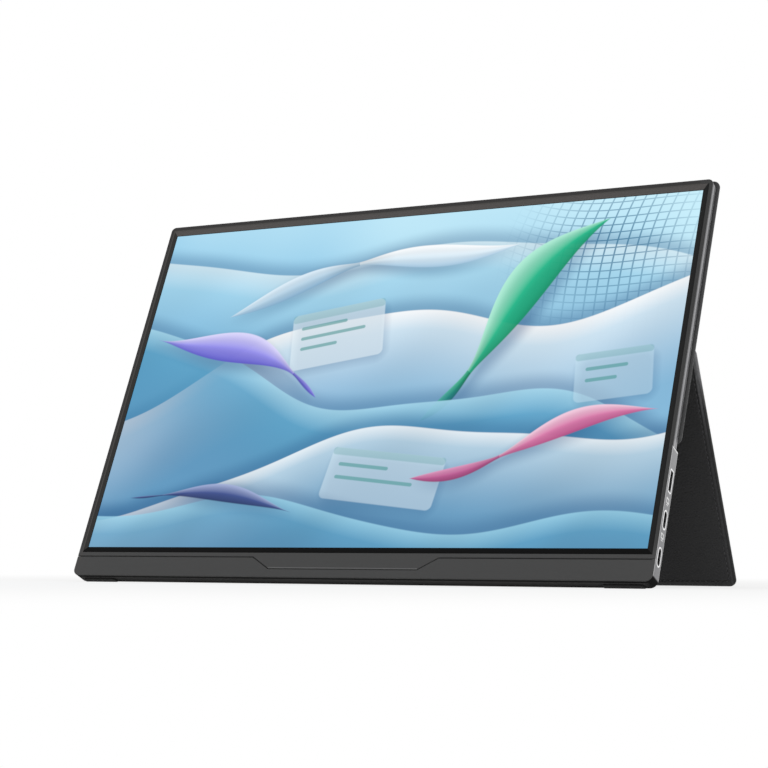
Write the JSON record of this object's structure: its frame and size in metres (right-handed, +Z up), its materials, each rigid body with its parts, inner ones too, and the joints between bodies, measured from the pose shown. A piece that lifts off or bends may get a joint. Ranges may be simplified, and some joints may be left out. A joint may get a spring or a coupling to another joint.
{
  "type": "portable monitor",
  "caption": "Slim portable monitor with a thicker lower bay, side ports and buttons, on a leather folio stand with a hinged leg",
  "frame": {"origin": "On the desk, under the middle of the bounding box, with the monitor standing on its two feet and the leg", "axes": "+X along the screen's width, to the viewer's right; +Y away from the viewer, towards the leg; +Z up; the screen leans back 24.5 degrees from the vertical"},
  "size_m": [0.358, 0.1318, 0.2223],
  "materials": {
    "bezel_plastic": null,
    "case_grey": null,
    "panel_metal": null,
    "display_glass": null,
    "clear_sheet": null,
    "white_sheet": null,
    "tray_metal": null,
    "foam": null,
    "steel": null,
    "magnet": null,
    "circuit_board": null,
    "chip_plastic": null,
    "cable_film": null,
    "foot_rubber": null,
    "cover_leather": null,
    "lining": null,
    "stiff_board": null
  },
  "bodies": {
    "monitor": {"front_bezel": "bezel_plastic", "chin_trim": "bezel_plastic", "side_frame": "case_grey", "lower_housing": "case_grey", "rear_panel": "panel_metal", "lcd_cell": "display_glass", "optical_films": "clear_sheet", "light_guide": "clear_sheet", "reflector_sheet": "white_sheet", "led_strip": "white_sheet", "panel_tray": "tray_metal", "panel_pads": "foam", "attach_plate": "steel", "panel_screws": "steel", "board_screws": "steel", "housing_screws": "steel", "mini_hdmi_socket": "steel", "usb_c_socket_upper": "steel", "usb_c_socket_lower": "steel", "folio_magnets": "magnet", "main_board": "circuit_board", "key_board": "circuit_board", "panel_board": "circuit_board", "board_chips": "chip_plastic", "key_switches": "chip_plastic", "mini_hdmi_tongue": "chip_plastic", "usb_c_tongue_upper": "chip_plastic", "usb_c_tongue_lower": "chip_plastic", "headphone_socket": "chip_plastic", "left_speaker": "chip_plastic", "right_speaker": "chip_plastic", "panel_cable": "cable_film", "key_cable": "cable_film", "left_foot": "foot_rubber", "right_foot": "foot_rubber", "back_cover": "cover_leather", "crease_strip": "cover_leather", "back_lining": "lining", "back_board": "stiff_board"},
    "leg": {"leg_cover": "cover_leather", "leg_lining": "lining", "leg_board": "stiff_board", "leg_hinge": "cover_leather"},
    "power_button": {"power_button": "bezel_plastic"},
    "menu_rocker": {"menu_rocker": "bezel_plastic"}
  },
  "joints": [
    {"name": "leg_fold", "type": "hinge", "parent": "monitor", "child": "leg", "pos_m": [0, 0.00126, 0.12719], "axis": [1, 0, 0], "range_deg": [-50.4, 54]},
    {"name": "power_press", "type": "slide", "parent": "monitor", "child": "power_button", "axis": [1, 0, 0], "range_m": [0, 0.00035], "stiffness_N_per_m": 400},
    {"name": "menu_rock", "type": "hinge", "parent": "monitor", "child": "menu_rocker", "pos_m": [-0.17515, -0.04361, 0.04104], "axis": [0, 0.91, -0.4147], "range_deg": [-2.5, 2.5], "stiffness_Nm_per_rad": 0.2}
  ]
}
